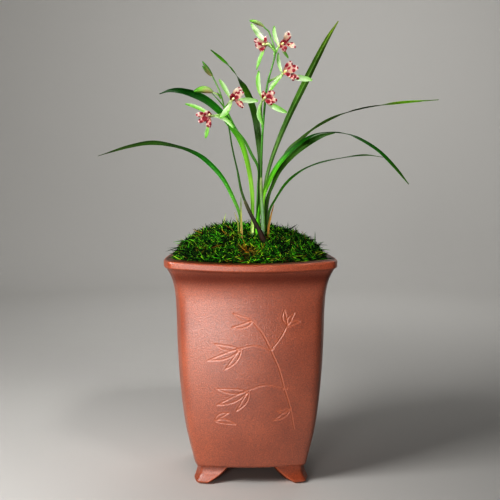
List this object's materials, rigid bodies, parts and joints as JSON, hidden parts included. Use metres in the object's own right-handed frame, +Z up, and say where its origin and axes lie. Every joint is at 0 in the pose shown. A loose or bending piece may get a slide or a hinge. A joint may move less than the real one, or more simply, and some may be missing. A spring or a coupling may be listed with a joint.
{
  "type": "potted orchid",
  "caption": "Potted orchid: arching strap leaves and flower spikes with green-white blooms and crimson-marked lips, rising from a moss mound in a square footed stoneware pot.",
  "frame": {"origin": "on the pot's axis, on the surface that its feet stand on; the leaves' reach is centred on it", "axes": "+Z up, along the pot's axis; -Y the way the pot's front face looks; +X to the right of that face, as it is seen from the front"},
  "size_m": [0.3683, 0.2247, 0.4972],
  "materials": {
    "stoneware": "unglazed red-brown stoneware, fine sandy grain",
    "soil": "dark bark and loam potting mix, rough",
    "moss": "living moss, deep green to yellow-green, rough",
    "bulb": "living pseudobulb, green, satin",
    "leaf": "living strap leaf, green, satin",
    "straw": "dry leaf sheath, straw-coloured, matt",
    "stem": "living flower stem, pale green, satin",
    "purple": "living stem sheath, purple-brown, satin",
    "sepal": "living sepal, green-white, satin",
    "petal": "living lip, cream with crimson blotches, satin"
  },
  "bodies": {
    "root": {"pot": "stoneware", "potting_soil": "soil", "moss_mound": "moss", "pseudobulb_left": "bulb", "pseudobulb_front": "bulb", "pseudobulb_back": "bulb", "pseudobulb_middle": "bulb", "pseudobulb_right": "bulb", "leaf_far_left": "leaf", "leaf_wide_left": "leaf", "leaf_upper_left": "leaf", "leaf_tall_right": "leaf", "leaf_far_right": "leaf", "leaf_arching_right": "leaf", "leaf_under_right": "leaf", "leaf_low_right": "leaf", "leaf_narrow_back": "leaf", "young_leaf": "leaf", "dry_sheath_left": "straw", "dry_sheath_small": "straw", "dry_sheath_right": "straw", "spike_a_stem": "stem", "spike_b_stem": "stem", "spike_a_sheath": "stem", "spike_b_sheath": "purple", "bloom_a_sepals": "sepal", "bloom_b_sepals": "sepal", "bloom_c_sepals": "sepal", "bloom_d_sepals": "sepal", "bloom_e_sepals": "sepal", "bloom_f_sepals": "sepal", "bloom_a_petals": "petal", "bloom_b_petals": "petal", "bloom_c_petals": "petal", "bloom_d_petals": "petal", "bloom_e_petals": "petal", "bloom_f_petals": "petal", "bud_a_tip": "sepal", "bud_b_tip": "sepal", "bud_b_side": "sepal"}
  },
  "joints": []
}
